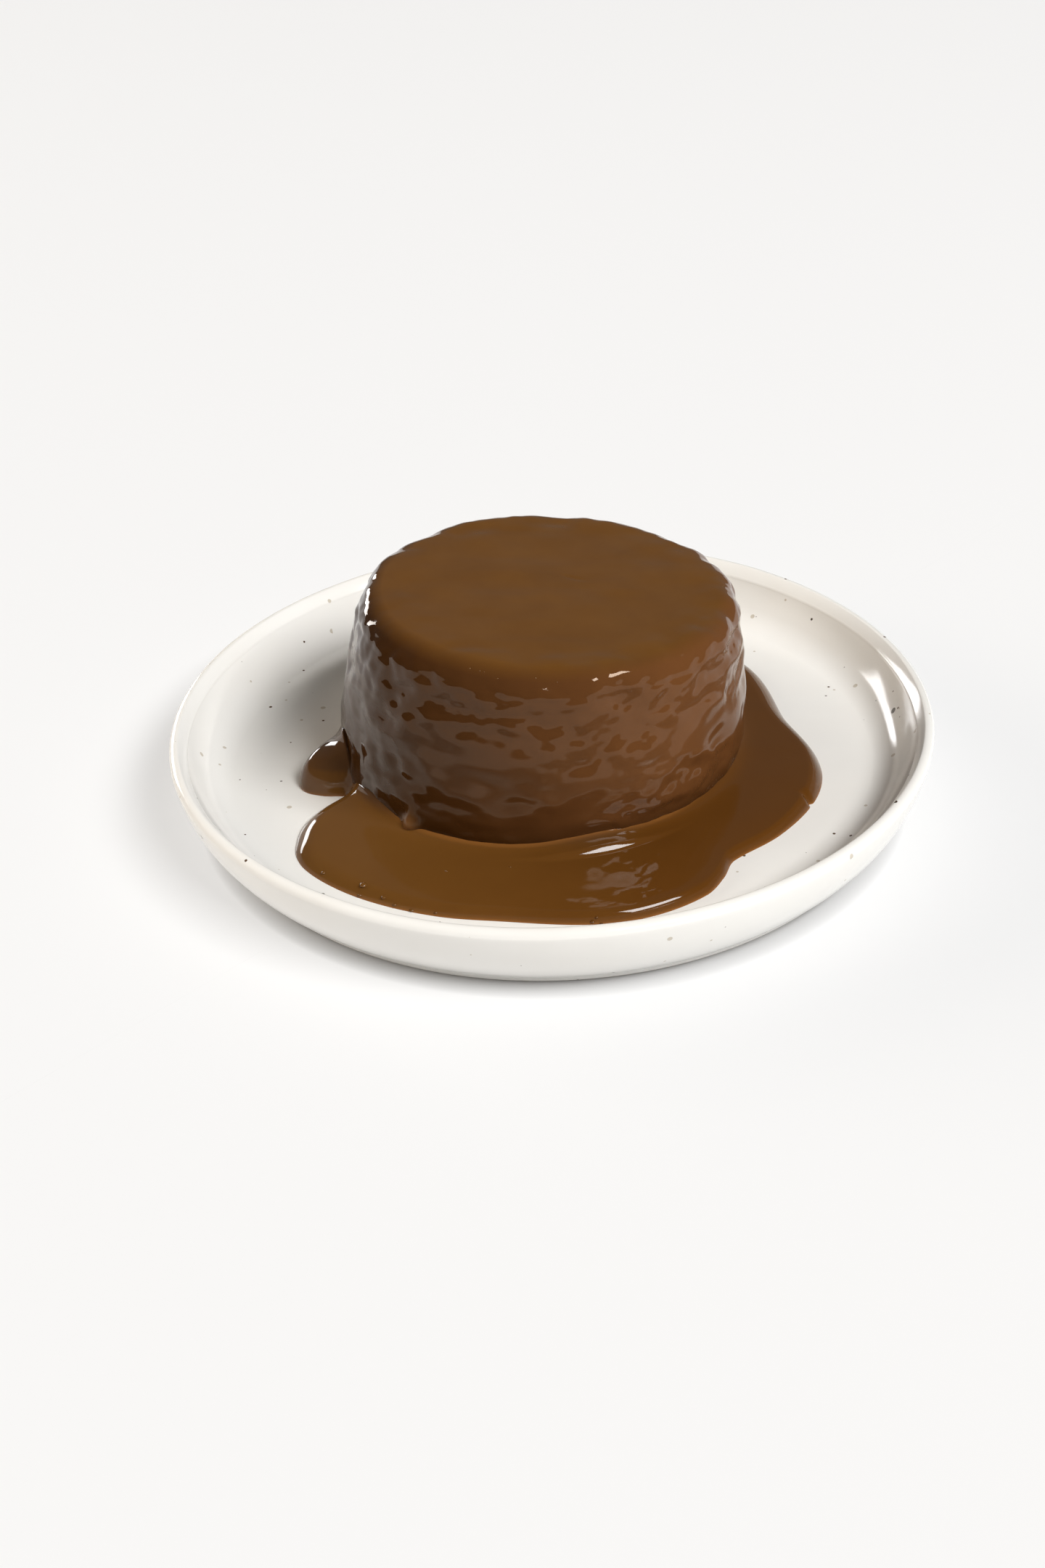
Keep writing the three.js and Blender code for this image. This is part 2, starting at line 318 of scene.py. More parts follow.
# %% The cake's sizes
CAKE_CENTRE = (-2.3, -1.7)
CAKE_HEIGHT = 38.2
CAKE_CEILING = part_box("cake")[1].z / MM - 0.02
CAKE_FOOT_RADIUS = 39.6
CAKE_TAPER = 0.021
CAKE_BELLY = 0.00426
CAKE_BELLY_LOW = 2.6
CAKE_BELLY_HIGH = 17.9
CAKE_EDGE_ROUND = 5.5
CAKE_EDGE_START = 12
CAKE_LEAN = (3.1, 0.7)
CAKE_TOP_FALL = 0.057
OVAL_SHARE, OVAL_DIRECTION = 0.022, 11
THREE_LOBE_SHARE, THREE_LOBE_DIRECTION = 0.009, 16
LUMP_DEPTH, LUMP_WIDTH, LUMP_RISE, LUMP_SEED = 0.45, 7, 4.2, 41
WAVE_DEPTH, WAVE_WIDTH, WAVE_RISE, WAVE_SEED = 0.45, 18, 13, 7
TOP_RELIEF_SHARE = 0.45
RELIEF_START, RELIEF_FULL = 4.4, 8
COLUMNS = 560
GRID, TOP_GRID = 0.5, 0.6  # mm between rings on the side and on the top
print("cake", 2 * CAKE_FOOT_RADIUS, "mm across the foot and", CAKE_HEIGHT, "mm high before its lumps")


# %% The cake's form, as in the solid
def side_radius(height):
    """The side's radius at a height over the plate's floor: a slight taper and a low belly."""
    belly = CAKE_BELLY * (height - CAKE_BELLY_LOW) * (height - CAKE_BELLY_HIGH)
    return CAKE_FOOT_RADIUS - CAKE_TAPER * (height - CAKE_BELLY_LOW) - belly


def out_of_round(angle):
    """The factor by which the plan departs from a circle: an oval with three faint lobes."""
    oval = OVAL_SHARE * np.cos(2 * (angle - radians(OVAL_DIRECTION)))
    return 1 + oval + THREE_LOBE_SHARE * np.cos(3 * (angle - radians(THREE_LOBE_DIRECTION)))


def relief(x, y, height, outwards):
    """The solid's own lumps and waves in mm. They fade out towards the foot, which stands in sauce."""
    strength = smooth(height, RELIEF_START, RELIEF_FULL) * blend(TOP_RELIEF_SHARE, 1, outwards)
    lumps = unevenness(x / LUMP_WIDTH, y / LUMP_WIDTH, height / LUMP_RISE, LUMP_SEED)
    waves = unevenness(x / WAVE_WIDTH, y / WAVE_WIDTH, height / WAVE_RISE, WAVE_SEED)
    return strength * (LUMP_DEPTH * lumps + WAVE_DEPTH * waves)


def place_on_cake(radius, angle, height, outwards):
    """Points in mm of the leaning, uneven cake for points of a true round."""
    lean = height / CAKE_HEIGHT
    x = radius * out_of_round(angle) * np.cos(angle)
    y = radius * out_of_round(angle) * np.sin(angle)
    bump = relief(x, y, height, outwards)
    return np.stack(np.broadcast_arrays(
        CAKE_CENTRE[0] + CAKE_LEAN[0] * lean + x + bump * outwards * np.cos(angle),
        CAKE_CENTRE[1] + CAKE_LEAN[1] * lean + y + bump * outwards * np.sin(angle),
        WELL_LEVEL + height - CAKE_TOP_FALL * lean * x + bump * (1 - outwards)), axis=-1)


def cake_section():
    """Radius, height and share facing outwards of each ring, from the foot to the middle of the top."""
    edge_level = CAKE_HEIGHT - CAKE_EDGE_ROUND
    edge_radius = side_radius(edge_level) - CAKE_EDGE_ROUND
    side_top = edge_level + CAKE_EDGE_ROUND * sin(radians(CAKE_EDGE_START))
    heights = np.linspace(0.05, side_top, int(side_top / GRID), endpoint=False)
    side = np.stack([side_radius(heights), heights, np.ones_like(heights)], axis=1)
    turn = np.radians(np.linspace(CAKE_EDGE_START, 90, 20))
    edge = np.stack([edge_radius + CAKE_EDGE_ROUND * np.cos(turn),
                     edge_level + CAKE_EDGE_ROUND * np.sin(turn), np.cos(turn)], axis=1)
    inwards = np.linspace(edge_radius, 0.4, int(edge_radius / TOP_GRID))[1:]
    top = np.stack([inwards, np.full_like(inwards, CAKE_HEIGHT), np.zeros_like(inwards)], axis=1)
    return np.vstack([side, edge, top])


# %% [markdown]
# ### What the glaze does
#
# The swellings aren't alike all over. Where the glaze ran thick it is calm, as low on the left and on
# the left of the front, and where it ran thin the crumb stands out, as all round under the top. So a
# field between 0 and 1, "busy", sets how strong the fine lumps are. Upright streaks run down the left,
# where the glaze flowed longest, and the rim of the top is lumpy, because the glaze stretched over it.
# Two accidents are placed one by one: a drop that hangs at the foot on the left, and a blister near the
# foot on the right, burst in a small pit. The top was smoothed by its own weight and keeps only faint
# drag lines and one small crease.
#
# A place on the side is given by its direction in degrees and its height over the plate's floor. Lumps
# on the rim could reach past the solid's top, so the finished height is pressed softly under it.

# %% Sizes of the fine lumps, in mm
SWELLING, SWELLING_CELL = 0.5, (5.2, 5.2, 3.4)
CRUMB, CRUMB_CELL = 0.17, (2.3, 2.3, 1.6)
STREAK, STREAK_CELL = 0.34, (4.4, 4.4, 13)
RIM_LUMP, RIM_CELL = 0.75, (8, 8, 8)
RIM_RIPPLE, RIPPLE_CELL = 0.16, (3.4, 3.4, 2.2)
DRAG, DRAG_CELL = 0.05, (13, 3.2, 40)
LUMPS_START, LUMPS_FULL = 1.5, 6  # heights over which swellings and crumb rise out of the sauce
RIM_HEIGHTS, RIM_RADII = (28, 35), (25, 32)  # where the rim's lumps begin, and where they are full
BUSY_CELL, PATCHES = (17, 17, 12), (-0.45, 0.2)  # patches turn busy between two values of the noise
CALM_SHARE = 0.4  # of the swellings' height that stays where the glaze is calm
UNDER_RIM_START, UNDER_RIM_FULL = 21, 29  # heights between which the crumb comes to stand out
STREAKS = {"direction": 207, "height": 24, "half_width": 20, "half_height": 16}
CALM_PLACES = (
    {"direction": -110, "height": 15, "half_width": 19, "half_height": 9, "strength": 0.9},
    {"direction": 196, "height": 13, "half_width": 13, "half_height": 14, "strength": 0.7},
)
DROP = {"direction": -130, "height": 4.0, "half_width": 1.9, "half_height": 2.4, "depth": 1.5}
DROP_NARROWING = 0.5
BLISTER = {"direction": -67, "height": 7.2, "half_width": 2.4, "half_height": 2.7, "depth": 0.25}
PIT = {"direction": -66, "height": 7.7, "half_width": 0.9, "half_height": 0.7, "depth": -0.2}
CREASE = {"x": 5.5, "y": 3.1, "half_length": 2.2, "half_width": 0.35, "depth": 0.2, "turn": -25}
print("swellings up to", SWELLING, "mm high and", SWELLING_CELL[0], "mm wide, with", len(CALM_PLACES),
      "calm places")


# %% Where the glaze is calm, and what it does elsewhere
def side_spot(angle, height, spot):
    """Distance from a spot on the side, as a share of the spot's half width and half height."""
    along = np.radians(turn_between(angle, spot["direction"])) * CAKE_FOOT_RADIUS
    return np.hypot(along / spot["half_width"], (height - spot["height"]) / spot["half_height"])


def dome(distance):
    """1 in the middle of a round dome, 0 from distance 1 on."""
    return np.sqrt(np.clip(1 - distance ** 2, 0, 1))


def how_busy(rings, angle, height):
    """From 0, where the glaze lies calm, to 1, where the crumb shows through it."""
    patchy = smooth(perlin(rings, BUSY_CELL, 11.3), *PATCHES)
    busy = blend(patchy, 1, smooth(height, UNDER_RIM_START, UNDER_RIM_FULL))
    for place in CALM_PLACES:
        busy = busy - place["strength"] * bell(side_spot(angle, height, place), 1.0)
    return np.clip(busy, 0, 1)


def drop_share(angle, height):
    """1 in the middle of the hanging drop, which narrows upwards, to 0 round it."""
    narrowed = 1 - DROP_NARROWING * np.clip((height - DROP["height"]) / DROP["half_height"], 0, 1)
    return bell(side_spot(angle, height, {**DROP, "half_width": DROP["half_width"] * narrowed}), 1.0)


# %% The side's lumps, the top's crease and the rim
def side_relief(rings, angle, height, busy):
    """Swellings, crumb and streaks in mm. Swellings and crumb fade out towards the sauce."""
    above_sauce = smooth(height, LUMPS_START, LUMPS_FULL)
    swellings = SWELLING * perlin(rings, SWELLING_CELL, 5.1) * blend(CALM_SHARE, 1, busy)
    crumb = CRUMB * perlin(rings, CRUMB_CELL, 8.7) * busy
    streaks = STREAK * bell(side_spot(angle, height, STREAKS), 1.0) * perlin(rings, STREAK_CELL, 3.3)
    return above_sauce * (swellings + crumb) + streaks


def top_relief(rings):
    """Drag lines and the crease in mm."""
    dx, dy = rings[..., 0] - CREASE["x"], rings[..., 1] - CREASE["y"]
    turn = radians(CREASE["turn"])
    along, across = dx * cos(turn) + dy * sin(turn), dy * cos(turn) - dx * sin(turn)
    crease = CREASE["depth"] * bell(along, CREASE["half_length"]) * bell(across, CREASE["half_width"])
    return DRAG * perlin(rings, DRAG_CELL, 2.9) - crease


def glaze_relief(rings, angle, height, outwards, radius, busy):
    """Height in mm of the glaze's own unevenness, out from the cake's form."""
    on_rim = smooth(height, *RIM_HEIGHTS) * smooth(radius, *RIM_RADII)
    rim = RIM_LUMP * perlin(rings, RIM_CELL, 1.7) + RIM_RIPPLE * perlin(rings, RIPPLE_CELL, 6.1)
    drop = DROP["depth"] * drop_share(angle, height)
    blister = BLISTER["depth"] * dome(side_spot(angle, height, BLISTER))
    pit = PIT["depth"] * bell(side_spot(angle, height, PIT), 1.0)
    side = side_relief(rings, angle, height, busy)
    return side * outwards + top_relief(rings) * (1 - outwards) + on_rim * rim + drop + blister + pit


# %% Make the cake
def keep_under(level, ceiling, softness=0.5):
    """Presses whatever comes near a ceiling down below it, softly."""
    over = np.maximum(level - ceiling + softness, 0)
    return level - over + softness * (1 - np.exp(-over / softness))


def make_cake():
    """The cake, and its rings of points for the bubbles to stand on."""
    section = cake_section()
    angle = angles(COLUMNS)[None, :]
    radius, height, outwards = (section[:, i:i + 1] for i in range(3))
    rings = place_on_cake(radius, angle, height, outwards)
    busy = how_busy(rings, angle, height)
    rings = push_out(rings, glaze_relief(rings, angle, height, outwards, radius, busy))
    rings[..., 2] = keep_under(rings[..., 2], CAKE_CEILING)
    foot, middle = rings[0].mean(axis=0), rings[-1].mean(axis=0)
    piece = add_mesh("cake_glazed", *join_rings(rings, foot, middle))
    paint(piece, "busy", busy)
    paint(piece, "side", np.broadcast_to(outwards, busy.shape))
    # the drop's share, which the material paints lighter as a painted glow
    paint(piece, "drop", drop_share(angle, height) * outwards)
    return piece, rings


cake, cake_rings = make_cake()

# %% [markdown]
# ## The sauce
#
# Thick sauce stops where its weight and its surface tension balance, so a pool has lobes, a rounded
# bead at its free edge, and a small curve where it climbs what stands in it. It is one ring of sauce
# round the cake. Its free edge runs through the same tips and bays as the solid's, and its height
# depends on the distance from that edge, which rounds every lobe and bay by itself.
#
# The bead isn't alike all round: in front it spread thin, so the pool lacks two fifths of its depth at
# the edge, while the slow tongue at the left stands up as a fat dome with an upright edge. One number,
# the fullness, goes from 1 for a bead like a parabola to 2 for one like a quarter ellipse. Glaze also ran
# down into the pool at the left, where it stands as slopes against the cake, and in front it left a low
# ledge that catches the light of the softbox.
#
# All directions are degrees round the cake's middle, from +X towards +Y, and lengths are in mm.

# %% The sauce's sizes
SAUCE_DEPTH = 2.7
SAUCE_BEAD = [  # direction, and how far in from the free edge the bead rises
    (20, 4.2), (80, 4), (150, 3.4), (212, 4.4), (236, 2.6), (262, 1.8), (300, 1.6), (328, 1.6), (348, 3),
]
THIN_EDGE, THIN_EDGE_WIDTH = 0.42, 6  # share of the depth that the front edge lacks, over this width
THIN_START, THIN_FULL = 0.2, 0.7  # how far towards the front the thin edge begins and is complete
FULL_LOBE = {"direction": 214, "spread": 16, "amount": 0.5}
FULL_TONGUE_SPREAD, FULL_BACK = 13, 0.3
CAKE_AT_SAUCE = 3.0  # height at which the sauce's surface meets the cake
TONGUE = {"x": -44.6, "y": -8.0, "radius": 8.2, "rise": 4.0, "direction": 188, "spread": 9, "bead": 3.6}
FILLET_CLIMB, FILLET_WIDTH = 1.2, 1.1
RUNS = (  # where the glaze ran down into the pool: direction, spread, climb and width
    (175, 6.0, 5.2, 1.5),
    (189, 6.0, 3.4, 1.8),
    (-148, 12, 2.2, 2.0),
)
LEDGE = {"direction": -75, "spread": 15, "height": 1.2, "start": 4.4, "full": 3.1}
SAUCE_EDGE = [  # direction, and the free edge's reach from the cake's middle
    (12, 52.4), (36, 56.2), (50, 55.2), (70, 50.4), (91, 52.6), (112, 46.2),
    (133, 47.8), (150, 43.4), (160, 41.6), (167, 41.9), (173, 43.0), (179, 44.6),
    (184, 46.9), (189, 49.4), (193.3, 48.9), (196.6, 45.6), (199.5, 41.1), (203, 47.2),
    (207, 52.4), (212, 56.3), (216, 58.7), (221, 59.9), (231, 60.1), (250, 59.2), (264, 58.6),
    (285, 61.3), (300, 60.1), (306, 57.5), (311.5, 54.7), (324, 56.3), (339, 57.9),
    (347, 57.8), (354, 56.6),
]
NOTCH = {"direction": -23.2, "spread": 0.45, "depth": 0.7}
DENTS = ((12.3, -51.3), (13.7, -56.8), (21.4, -51.8))  # places on the plate
DENT_DEPTH, DENT_RADIUS = 0.1, 1.4


# %% The sauce's free edge
def closed_curve(knots, angle):
    """A value at each angle, on a smooth closed curve through knots of direction and value."""
    knots = np.array(knots)
    around = np.vstack([knots[-1:] - (360, 0), knots, knots[:2] + (360, 0)])
    slopes = (around[2:, 1] - around[:-2, 1]) / (around[2:, 0] - around[:-2, 0])
    inner = around[1:-1]
    turn = (np.degrees(angle) - inner[0, 0]) % 360 + inner[0, 0]
    i = np.clip(np.searchsorted(inner[:, 0], turn, side="right") - 1, 0, len(inner) - 2)
    span = inner[i + 1, 0] - inner[i, 0]
    t = (turn - inner[i, 0]) / span
    bend = t * (1 - t) * ((1 - t) * slopes[i] - t * slopes[i + 1]) * span
    return blend(inner[i, 1], inner[i + 1, 1], t * t * (3 - 2 * t)) + bend


def sauce_reach(angle):
    """Reach in mm of the pool's free edge from the cake's centre."""
    nick = NOTCH["depth"] * bell(turn_between(angle, NOTCH["direction"]), NOTCH["spread"])
    return closed_curve(SAUCE_EDGE, angle) - nick


def free_edge():
    """Places (n, 2) along the free edge, two for each column of the pool's mesh."""
    angle = angles(COLUMNS * 2)
    reach = sauce_reach(angle)
    x, y = CAKE_CENTRE[0] + reach * np.cos(angle), CAKE_CENTRE[1] + reach * np.sin(angle)
    print("pool reaches", round(reach.min(), 1), "to", round(reach.max(), 1), "mm from the cake's middle")
    return np.stack([x, y], axis=1)


EDGE_POINTS = free_edge()


def distance_from_edge(places):
    """Distance in mm from places (n, 2) to the free edge, a closed chain of short straight pieces."""
    start, end = EDGE_POINTS, np.roll(EDGE_POINTS, -1, axis=0)
    chord = end - start
    offset = places[:, None, :] - start
    share = np.clip((offset * chord).sum(-1) / (chord ** 2).sum(-1), 0, 1)
    return np.linalg.norm(offset - share[..., None] * chord, axis=-1).min(axis=1)


# %% The sauce's height
def towards_front(angle, start, full):
    """0 at the back and the sides to 1 in front, by how far a direction points towards -Y."""
    return smooth(-np.sin(angle), start, full)


def fullness(angle):
    """1 where the bead spread thin in front, up to 2 at the fat tongue."""
    tongue = bell(turn_between(angle, TONGUE["direction"]), FULL_TONGUE_SPREAD)
    left_lobe = FULL_LOBE["amount"] * bell(turn_between(angle, FULL_LOBE["direction"]), FULL_LOBE["spread"])
    back = FULL_BACK * smooth(np.sin(angle), -0.3, 0.5)
    return 1 + np.maximum(tongue, np.maximum(left_lobe, back))


def sauce_level(places):
    """Height in mm of the sauce's surface over the plate's floor at places (n, 2)."""
    from_centre = places - CAKE_CENTRE
    angle = np.arctan2(from_centre[:, 1], from_centre[:, 0])
    cake_surface = place_on_cake(side_radius(CAKE_AT_SAUCE), angle, CAKE_AT_SAUCE, 1.0)[:, :2] - CAKE_CENTRE
    from_cake = np.linalg.norm(from_centre, axis=1) - np.linalg.norm(cake_surface, axis=1)
    from_cake = np.maximum(from_cake, 0)
    at_tongue = bell(turn_between(angle, TONGUE["direction"]), TONGUE["spread"])
    bead_width = blend(closed_curve(SAUCE_BEAD, angle), TONGUE["bead"], at_tongue)
    tongue = dome(np.hypot(places[:, 0] - TONGUE["x"], places[:, 1] - TONGUE["y"]) / TONGUE["radius"])
    from_edge = distance_from_edge(places)
    rise = 1 - (1 - np.clip(from_edge / bead_width, 0, 1)) ** 2
    thin = THIN_EDGE * towards_front(angle, THIN_START, THIN_FULL) * np.exp(-from_edge / THIN_EDGE_WIDTH)
    bead = rise ** (1 / fullness(angle)) * (1 - thin)
    fillet = FILLET_CLIMB * np.exp(-from_cake / FILLET_WIDTH)
    for direction, spread, climb, width in RUNS:
        fillet = fillet + climb * bell(turn_between(angle, direction), spread) * np.exp(-from_cake / width)
    ledge = LEDGE["height"] * bell(turn_between(angle, LEDGE["direction"]), LEDGE["spread"])
    fillet = fillet + ledge * smooth(-from_cake, -LEDGE["start"], -LEDGE["full"])
    dents = sum(bell(np.hypot(*(places - dent).T), DENT_RADIUS) for dent in DENTS)
    return (GAP + SAUCE_DEPTH + TONGUE["rise"] * tongue + fillet) * bead - DENT_DEPTH * dents * bead


# %% [markdown]
# ### Two values for the sauce's material
#
# Colour follows depth in a real sauce, and the mesh knows its depth, so it is painted on the points.
# One value is 1 where the sauce runs out to nothing, and half that in a line along the cake's foot in
# front, which is a painted highlight where the sauce climbs the cake. The other grows with the depth in
# the tongue and in the slopes against the cake; it carries the deep sauce's darker colour, with painted
# shade and a painted greyish reflection in the tongue.

# %% Make the pool
SUNK = 0.02  # mm that the pool's underside stands above the plate's floor, so that no faces coincide
OVERLAP = 0.6  # mm that the pool's inner edge lies inside the cake
EDGE_RINGS, INNER_RINGS = 24, 40
EDGE_SHARE = 0.3  # of the pool's width, near the free edge, has the closest rings
WAVER, WAVER_CELL = 0.05, (9, 6, 9)
THIN_DEPTH = 0.25
# a painted highlight along the cake's foot in front: strength, place, width, and where it begins
FOOT_HIGHLIGHT = {"strength": 0.5, "from_cake": 0.85, "half_width": 0.35, "start": 0.55, "full": 0.85}
# depths over which the deep sauce's darker colour and painted shade come in, and their strongest share
THICK_START, THICK_FULL, THICK_SHARE = 3.6, 5.6, 0.8


def make_sauce():
    angle = angles(COLUMNS)
    outer = EDGE_POINTS[::2]
    inner = place_on_cake(side_radius(1.0) - OVERLAP, angle, 1.0, 1.0)[:, :2]
    near_edge = np.linspace(0, 1, EDGE_RINGS)[1:-1] ** 1.6 * EDGE_SHARE
    shares = np.concatenate([near_edge, np.linspace(EDGE_SHARE, 1, INNER_RINGS)])
    underside = [inner, (inner + outer) / 2, outer]
    rings = [np.column_stack([place, np.full(COLUMNS, WELL_LEVEL + SUNK)]) for place in underside]
    for share in shares:
        place = blend(outer, inner, share)
        rings.append(np.column_stack([place, WELL_LEVEL + SUNK + sauce_level(place)]))
    rings = np.array(rings)
    depth = rings[..., 2] - WELL_LEVEL - SUNK
    rings[..., 2] += WAVER * perlin(rings, WAVER_CELL, 4.4) * smooth(depth, 1.5, 2.8)
    piece = add_mesh("sauce_pool_wet", *join_rings(rings, closed=True))
    from_centre = rings[..., :2] - CAKE_CENTRE
    direction = np.arctan2(from_centre[..., 1], from_centre[..., 0])
    from_cake = np.linalg.norm(rings[..., :2] - rings[0, :, :2], axis=-1)
    # a painted highlight: a lighter line along the cake's foot in front, where the sauce climbs it
    painted_foot_highlight = FOOT_HIGHLIGHT["strength"] * bell(from_cake - FOOT_HIGHLIGHT["from_cake"], FOOT_HIGHLIGHT["half_width"])
    painted_foot_highlight = painted_foot_highlight * towards_front(direction, FOOT_HIGHLIGHT["start"], FOOT_HIGHLIGHT["full"])
    paint(piece, "thin", np.maximum(np.exp(-depth / THIN_DEPTH), painted_foot_highlight * smooth(depth, 0.5, 1)))
    # painted shade and a painted greyish reflection in the tongue, with the deep sauce's darker colour
    tongue_shade = bell(turn_between(direction, TONGUE["direction"]), TONGUE["spread"])
    paint(piece, "deep_and_painted_shade", THICK_SHARE * np.maximum(tongue_shade, smooth(depth, THICK_START, THICK_FULL)))
    return piece


sauce = make_sauce()

# %% [markdown]
# ## Bubbles
#
# Pouring traps air. A few bubbles, the widest of them 1.5 mm across, stayed on the sauce near its front
# edge, and a few smaller ones on the rim of the cake. They are low domes, joined to one mesh for the
# sauce and one for the rim, and each sits on the surface that carries it.

# %% Low domes in two meshes
SAUCE_BUBBLES = (  # place on the plate and radius
    (-36.0, -49.1, 0.75), (-43.9, -43.6, 0.45), (-36.7, -50.4, 0.4), (-32.1, -52.4, 0.5),
    (-30.0, -54.0, 0.4), (-26.8, -55.6, 0.45), (-22.3, -57.0, 0.35), (6.4, -61.4, 0.45),
    (7.2, -61.0, 0.35), (8.0, -61.6, 0.4), (-8.5, -46.2, 0.3), (-20.4, -46.8, 0.3),
)
RIM_BUBBLES = (  # direction, ring up from the foot as a share of the section, and radius
    (-115.5, 0.565, 0.2), (-112.6, 0.562, 0.17), (-110.9, 0.559, 0.15), (-106.7, 0.55, 0.2),
    (-95.4, 0.565, 0.22), (-89.0, 0.548, 0.17),
)
BUBBLE_COLUMNS, BUBBLE_RINGS = 16, 6
BUBBLE_RISE, BUBBLE_SUNK = 0.7, 0.15  # shares of the radius


def bubble(centre, normal, radius):
    """Rings of a low dome that stands on a surface, sunk a little into it."""
    normal = Vector(normal).normalized()
    across = normal.orthogonal().normalized()
    along = normal.cross(across)
    turn = angles(BUBBLE_COLUMNS)
    lift = np.linspace(0, pi / 2, BUBBLE_RINGS)
    rings = [np.array(centre) + radius * (
        cos(a) * (np.cos(turn)[:, None] * across + np.sin(turn)[:, None] * along)
        + (BUBBLE_RISE * sin(a) - BUBBLE_SUNK) * np.array(normal)) for a in lift[:-1]]
    return np.array(rings), np.array(centre) + (BUBBLE_RISE - BUBBLE_SUNK) * radius * np.array(normal)


def make_bubbles(name, spots):
    """One mesh of bubbles for spots of centre, normal and radius."""
    points, faces = [], []
    for centre, normal, radius in spots:
        rings, top = bubble(centre, normal, radius)
        dome_points, dome_faces = join_rings(rings, rings[0].mean(axis=0), top)
        faces += [[len(points) + corner for corner in face] for face in dome_faces]
        points += dome_points.tolist()
    return add_mesh(name, points, faces)


def on_sauce(x, y):
    """The point of the sauce's surface over a place on the plate."""
    return (x, y, WELL_LEVEL + SUNK + sauce_level(np.array([[x, y]]))[0])


def on_cake(direction, share):
    """A point of the finished cake mesh and the normal there."""
    column = round((direction % 360) / 360 * COLUMNS) % COLUMNS
    row = round(share * (len(cake_rings) - 1))
    point = cake_rings[row, column]
    around = cake_rings[row, (column + 1) % COLUMNS] - point
    return point, np.cross(around, cake_rings[row + 1, column] - point)


sauce_bubbles = make_bubbles("sauce_bubbles", [(on_sauce(x, y), (0, 0, 1), r) for x, y, r in SAUCE_BUBBLES])
rim_bubbles = make_bubbles("rim_bubbles", [(*on_cake(a, share), r) for a, share, r in RIM_BUBBLES])

# %% [markdown]
# ## Glazed stoneware
#
# Stoneware is a grey-buff clay fired until it is dense, here under an off-white glaze. Iron in the clay
# burns through as dark specks, most of them under a millimetre wide and the widest one and a half, and
# the glaze pools and thins by a few hundredths of a millimetre, which the eye reads as softness in its
# reflections. The foot ring was wiped before firing, so there the bare, rough clay shows, up to a ragged
# line. Glaze is glass, so the IOR is 1.5 and the surface is smooth. The specks are drawn with Voronoi
# cells: the random colour of a cell decides whether it holds a speck and how large that speck is.
#
# All three materials are built of the same few steps, so those come first: a mix of two colours, a
# noise whose blotches have a width in mm, and a range of values carried over to another.

# %% Steps that the materials share
COLOUR_A, COLOUR_B, COLOUR_OUT = 6, 7, 2  # a Mix node's sockets for colours


def mix_colours(tree, share, first, second):
    """The socket with a mix of two colours, each of them a hex value or a socket."""
    first, second = (linear(c) if isinstance(c, str) else c for c in (first, second))
    node = add_node(tree, "ShaderNodeMix", {0: share, COLOUR_A: first, COLOUR_B: second}, data_type="RGBA")
    return node.outputs[COLOUR_OUT]


def blotches(tree, place, width, detail=2.0):
    """The socket with a noise from 0 to 1, whose blotches have a width in mm."""
    inputs = {"Vector": place, "Scale": 1 / (width * MM), "Detail": detail}
    return add_node(tree, "ShaderNodeTexNoise", inputs).outputs[0]


def remap(tree, value, start, end, low=0.0, high=1.0, **settings):
    """The socket with a value carried over from a range to another, and held at both ends."""
    inputs = {"Value": value, "From Min": start, "From Max": end, "To Min": low, "To Max": high}
    return add_node(tree, "ShaderNodeMapRange", inputs, **settings).outputs[0]


def painted(tree, name):
    """The socket with a value that was painted on the mesh's points."""
    return add_node(tree, "ShaderNodeAttribute", {}, attribute_name=name).outputs["Fac"]


# %% The plate's material
SPECK_EDGE = 0.08  # mm over which a speck fades into the glaze
CLAY_ROUGHNESS, GLAZE_ROUGHNESS = 0.75, 0.13


